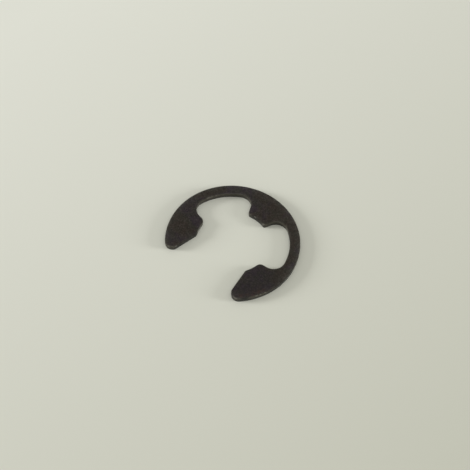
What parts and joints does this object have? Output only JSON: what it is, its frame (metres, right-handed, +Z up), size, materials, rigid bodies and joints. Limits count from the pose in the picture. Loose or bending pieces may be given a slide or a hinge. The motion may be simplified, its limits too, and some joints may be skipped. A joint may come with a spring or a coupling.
{
  "type": "circlip",
  "caption": "E-shaped retaining ring: round flat band with a middle prong, two side prongs, curved windows and a flared open mouth.",
  "frame": {"origin": "centre of the circle the three prong tips close on, on the underside of the ring", "axes": "+Z up through the thickness, from the underside to the rolled-edge face; +X along the middle prong, away from the mouth; +Y across the ring from one lug to the other"},
  "size_m": [0.0377, 0.044, 0.002],
  "materials": {
    "blackened_spring_steel": "hardened spring steel, phosphated and oiled black, worn slightly bright on the edges"
  },
  "bodies": {
    "root": {"circlip": "blackened_spring_steel"}
  },
  "joints": []
}
